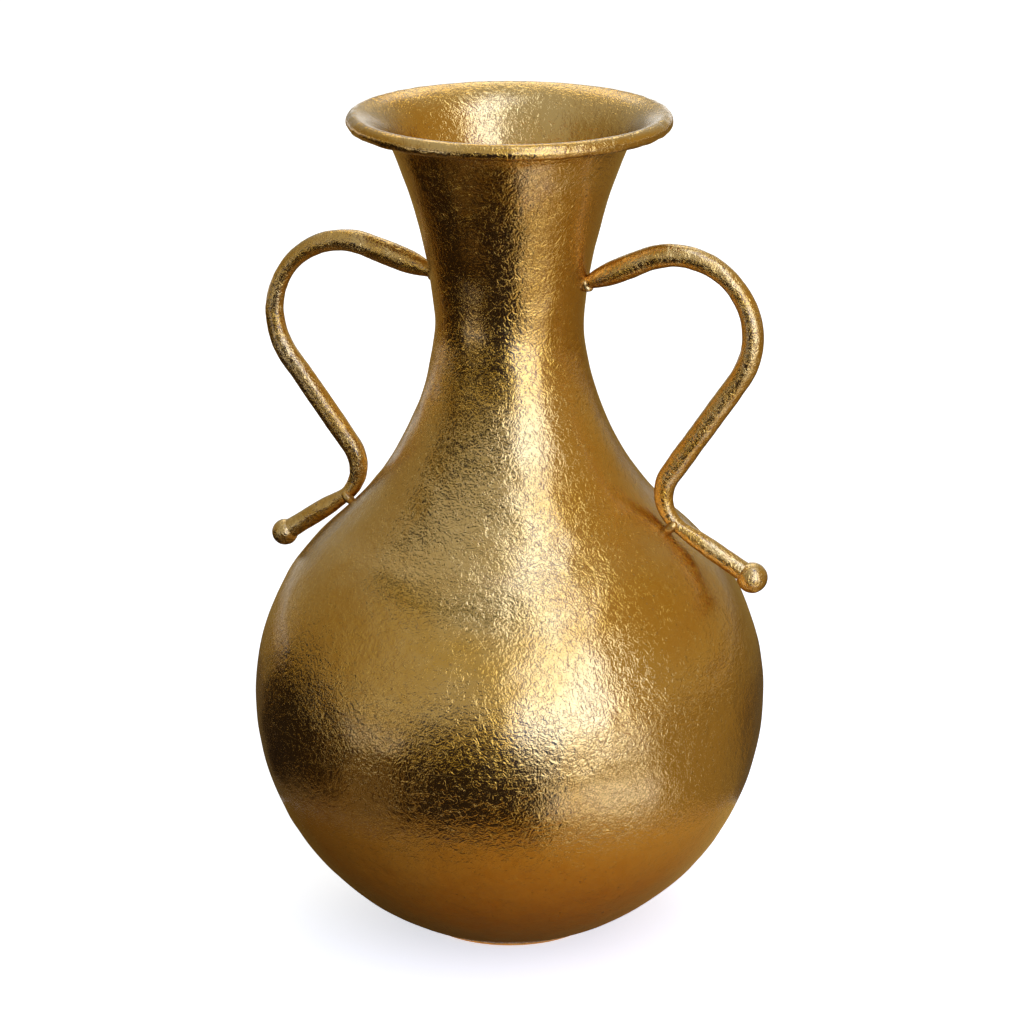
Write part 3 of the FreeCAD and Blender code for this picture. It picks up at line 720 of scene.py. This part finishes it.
def roundPiece(name, centre, radii, axis, side, slot, cadNode, material, seed, rough, aside=0.0):
    # A round body: rings round an axis, with a little noise in the radius
    body = roundBody
    polar = np.linspace(body["poleGap"], pi - body["poleGap"], body["rings"])
    angle = fullTurn(body["ringPoints"])
    axis = np.array([math.cos(axis), 0, math.sin(axis)])
    across = np.array([-axis[2], 0, axis[0]])
    ring = (np.cos(angle)[:, None] * across * radii[1]
            + np.sin(angle)[:, None] * np.array([0, 1, 0]) * radii[2])
    plain = np.cos(polar)[:, None, None] * axis * radii[0] + np.sin(polar)[:, None, None] * ring
    flat = plain.reshape(-1, 3)
    size = 1 - rough * valueNoise(flat, body["lumpSize"] * max(radii), seed)
    middle = np.array([centre[0], aside, centre[1]])
    rings = (flat * size[:, None]).reshape(plain.shape) + middle
    tip = axis * radii[0] * (1 - rough / 2)
    poles = np.array([middle + tip, middle - tip])
    if slot == "braze":
        rings, poles = heldOut(rings), heldOut(poles)
    points, faces = ringsToMesh(turned(rings, side["bearing"]), *turned(poles, side["bearing"]))
    meshPiece(name, points, faces, [cadNode], material)


def handlePieces(word, side):
    tailEnd, crookAngle, tip = rodPiece(f"{word}Rod", side, f"{word}_handle")
    droop, ball, seed = side["droop"], side["ball"], side["seed"]
    roundPiece(f"{word}BallEnd", onCircle(tailEnd, handle["ballSeat"], -droop), (ball, ball, ball), -droop,
               side, "gilt_rod", f"{word}_ball", giltRod, seed + 5, roundBody["ballRough"])
    roundPiece(f"{word}TipBraze", (tip[0] + tipBraze["out"], tip[1] + tipBraze["up"]), tipBraze["radii"],
               side["rise"], side, "braze", f"{word}_neck_braze", giltBraze, seed + 6, tipBraze["rough"])
    touch = onCircle(places["sweep"], crookBead["lift"] - places["sweepCurve"], crookAngle)
    roundPiece(f"{word}CrookBead", touch, crookBead["radii"], crookAngle, side, "braze",
               f"{word}_crook_tack", giltBraze, seed + 7, crookBead["rough"],
               crookBead["aside"] * math.cos(side["bearing"]))


handlePieces("left", left)
handlePieces("right", right)
print("handles made")

for name, material in (("base_weld", weldMetal), ("belly_seam", weldMetal), ("waist_seam", weldMetal),
                       ("rim_wire", wireMetal)):
    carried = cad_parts[name]
    carried.data.materials.clear()
    carried.data.materials.append(material)


studio = {
    "floorSize": 30.0,
    "floorColour": (0.92, 0.92, 0.92),
    "floorLift": (0.62, 0.64, 0.68),   # brings the floor up to white where it is seen, and leaves its shadow
    "roomSide": (0.33, 0.265, 0.125),  # the room from left to right: dim, pale, then warm
    "roomFront": (0.52, 0.525, 0.47),
    "roomRight": (0.47, 0.34, 0.115),
    "sideToFront": (-0.95, -0.55),     # X of the directions between which one gives way to the next
    "frontToRight": (0.0, 0.7),
    "lampAim": (0.0, 0.0, 0.2),
    "softboxColour": (0.44, 0.58, 1.0),
    "softboxDistance": 1.7,
    "softboxHeight": 0.60,
    # azimuth and elevation in degrees, width, radiance
    "softboxes": ((24, 4.5, 1.25, 3.9), (25, 23.5, 1.12, 3.2), (29, 42.5, 0.80, 3.2),
                  (40, 62.0, 0.60, 4.2), (40, 80.0, 0.60, 2.6)),
    # azimuth and elevation, distance, size, radiance
    "backLamps": {"backSoftbox": (180, 48, 1.9, (1.2, 0.8), 1.6),
                  "backdropBox": (172, 9, 2.0, (1.3, 0.5), 0.9)},
    "cameraAzimuth": 17.5,             # in degrees to the right of square, towards +X
    "cameraElevation": 17.22,
    "cameraDistance": 2.0,
    "aim": (0.0, 0.0, 0.2078),
    "sensor": 36.0,
    "lens": 145.9,
    "shiftX": 0.0024,
}


def fromAround(azimuth, elevation, distance, aim):
    # A place at this azimuth (to the right of the camera) and elevation round the vase
    azimuth = math.radians(studio["cameraAzimuth"]) + math.radians(azimuth)
    elevation = math.radians(elevation)
    return Vector(aim) + distance * Vector((math.cos(elevation) * math.sin(azimuth),
                                            -math.cos(elevation) * math.cos(azimuth),
                                            math.sin(elevation)))


def turnTo(thing, aim):
    thing.rotation_euler = (Vector(aim) - thing.location).to_track_quat("-Z", "Y").to_euler()


def lampAt(name, azimuth, elevation, distance, size, radiance, colour=(1, 1, 1)):
    # A rectangular lamp. Its power is its radiance times pi times its area.
    data = bpy.data.lights.new(name, "AREA")
    data.shape = "RECTANGLE"
    data.size, data.size_y = size
    data.energy = radiance * pi * size[0] * size[1]
    data.color = colour
    lamp = bpy.data.objects.new(name, data)
    scene.collection.objects.link(lamp)
    lamp.location = fromAround(azimuth, elevation, distance, studio["lampAim"])
    turnTo(lamp, studio["lampAim"])


def mattMaterial(name, colour, glow=0.0):
    material, tree, shader = newMaterial(name)
    shader["Base Color"].default_value = (*colour, 1)
    shader["Roughness"].default_value = 1.0
    shader["Specular IOR Level"].default_value = 0.0
    shader["Emission Color"].default_value = (*colour, 1)
    shader["Emission Strength"].default_value = glow
    return material, tree, shader


def flatPlate(name, corners, faces, material):
    mesh = bpy.data.meshes.new(name)
    mesh.from_pydata(corners, [], faces)
    mesh.materials.append(material)
    plate = bpy.data.objects.new(name, mesh)
    scene.collection.objects.link(plate)
    return plate


def paleFloor():
    # The floor glows only where the camera, a reflection or glass sees it, so that its shadow stays.
    material, tree, shader = mattMaterial("paleFloor", studio["floorColour"])
    rays = tree.nodes.new("ShaderNodeLightPath").outputs
    seen = calculate(tree, "MAXIMUM", rays["Is Camera Ray"], rays["Is Glossy Ray"])
    seen = calculate(tree, "MAXIMUM", seen, rays["Is Transmission Ray"])
    shader["Emission Color"].default_value = (*studio["floorLift"], 1)
    tree.links.new(seen, shader["Emission Strength"])
    half = studio["floorSize"] / 2
    flatPlate("floor", [(-half, -half, 0), (half, -half, 0), (half, half, 0), (-half, half, 0)],
              [(0, 1, 2, 3)], material)


def studioRoom():
    world = bpy.data.worlds.new("studioWorld")
    scene.world = world
    world.use_nodes = True
    tree = world.node_tree
    direction = node(tree, "ShaderNodeSeparateXYZ")
    tree.links.new(node(tree, "ShaderNodeTexCoord").outputs["Generated"], direction.inputs[0])
    x = direction.outputs["X"]
    leftHalf = mixColour(tree, remap(tree, x, *studio["sideToFront"]), studio["roomSide"],
                         studio["roomFront"])
    room = mixColour(tree, remap(tree, x, *studio["frontToRight"]), leftHalf, studio["roomRight"])
    tree.links.new(room, tree.nodes["Background"].inputs["Color"])


paleFloor()
studioRoom()
for index, (azimuth, elevation, width, radiance) in enumerate(studio["softboxes"]):
    lampAt(f"softbox{index + 1}", azimuth, elevation, studio["softboxDistance"],
           (width, studio["softboxHeight"]), radiance, studio["softboxColour"])
for name, settings in studio["backLamps"].items():
    lampAt(name, *settings)

# Plain cards, from black to white, are what the polished metal mirrors, as in a product photograph. The
# camera doesn't see them, and they throw no shadow.
cards = {
    "black": (0.03, 0.02, 0.012),
    "dim": (0.20, 0.13, 0.05),
    "warm": (0.43, 0.28, 0.075),
    "pale": (0.49, 0.37, 0.20),
    "white": (0.95, 0.90, 0.78),
    "amber": (0.80, 0.52, 0.14),
    "brown": (0.10, 0.065, 0.03),
    "whiteGlow": 0.35,
    "amberLeft": (0.27, 0.155, 0.034),    # the amber card darkens to this
    "amberFromTo": (-0.16, 0.12),         # between these places along X
    "steps": 24,                          # faces along a card
    "lift": 0.0005,                       # of a card that lies on the floor
    # name, azimuths in degrees, distances from the middle, colour
    "lying": (
        ("amberCard", (-180, 180), (0.0445, 0.185), "amber"),
        ("ringCard", (-150, -42), (0.185, 0.225), "dim"),
        ("ringCardFront", (-42, 14), (0.185, 0.205), "dim"),
        ("paleCardNear", (14, 58), (0.185, 0.235), "pale"),
        ("paleCard", (16, 58), (0.33, 0.62), "pale"),
        ("whiteCard", (16, 58), (0.62, 6.0), "white"),
        ("warmCardNear", (58, 112), (0.185, 0.34), "warm"),
        ("warmCard", (58, 112), (0.34, 8.0), "warm"),
        ("dimCardBack", (112, 232), (0.185, 0.60), "dim"),
        ("warmCardBack", (112, 200), (0.60, 8.0), "warm"),
        ("warmCardBackLeft", (200, 232), (0.60, 2.4), "warm"),
        ("darkCardLeft", (-128, -72), (0.225, 2.4), "black"),
        ("darkCardFarLeft", (-112, -72), (2.4, 6.0), "black"),
        ("dimCardBetween", (-72, -42), (0.225, 0.44), "dim"),
        ("darkCardBetween", (-72, -42), (0.44, 0.80), "black"),
        ("darkCardFar", (-72, -42), (1.5, 6.0), "black"),
        ("darkCardFront", (-42, 14), (0.205, 0.33), "black"),
        ("darkCardFrontFar", (-42, 16), (0.33, 6.0), "black"),
    ),
    # name, azimuths in degrees, distance from the middle, heights of the lower and upper edge, colour
    "standing": (
        ("darkCardSide", (-118, -90), 0.80, (0.0, 0.20), "black"),
        ("dimCardStanding", (-30, -10), 2.2, (0.0, 0.36), "brown"),
        ("darkCardWaist", (-80, 6), 0.16, (0.280, 0.318), "black"),
    ),
}


def cardMaterials():
    made = {}
    for tone in ("black", "dim", "warm", "pale", "white", "amber", "brown"):
        glow = cards["whiteGlow"] if tone == "white" else 0.0
        made[tone], tree, shader = mattMaterial(tone + "Card", cards[tone], glow)
        if tone == "amber":
            axes = node(tree, "ShaderNodeSeparateXYZ")
            tree.links.new(objectPlace(tree), axes.inputs[0])
            share = remap(tree, axes.outputs["X"], *cards["amberFromTo"])
            tree.links.new(mixColour(tree, share, cards["amberLeft"], cards["amber"]),
                           shader["Base Color"])
    return made


def card(name, azimuths, near, far, material):
    # A strip between two arcs round the vase, each given by its distance and height
    steps = cards["steps"]
    turns = np.linspace(*azimuths, steps + 1)
    points = [tuple(fromAround(turn, 0, distance, (0, 0, z))) for distance, z in (near, far)
              for turn in turns]
    faces = [(i, i + 1, i + steps + 2, i + steps + 1) for i in range(steps)]
    plate = flatPlate(name, points, faces, material)
    plate.visible_camera = False
    plate.visible_shadow = False
    plate.visible_diffuse = False


materials = cardMaterials()
for name, azimuths, (near, far), tone in cards["lying"]:
    card(name, azimuths, (near, cards["lift"]), (far, cards["lift"]), materials[tone])
for name, azimuths, distance, (low, high), tone in cards["standing"]:
    card(name, azimuths, (distance, low), (distance, high), materials[tone])

cameraData = bpy.data.cameras.new("photoCamera")
camera = bpy.data.objects.new("photoCamera", cameraData)
scene.collection.objects.link(camera)
cameraData.sensor_width = studio["sensor"]
cameraData.sensor_fit = "HORIZONTAL"
cameraData.lens = studio["lens"]
cameraData.shift_x = studio["shiftX"]
camera.location = fromAround(0, studio["cameraElevation"], studio["cameraDistance"], studio["aim"])
turnTo(camera, studio["aim"])
scene.camera = camera
scene.view_settings.view_transform = "Standard"
print("studio made")
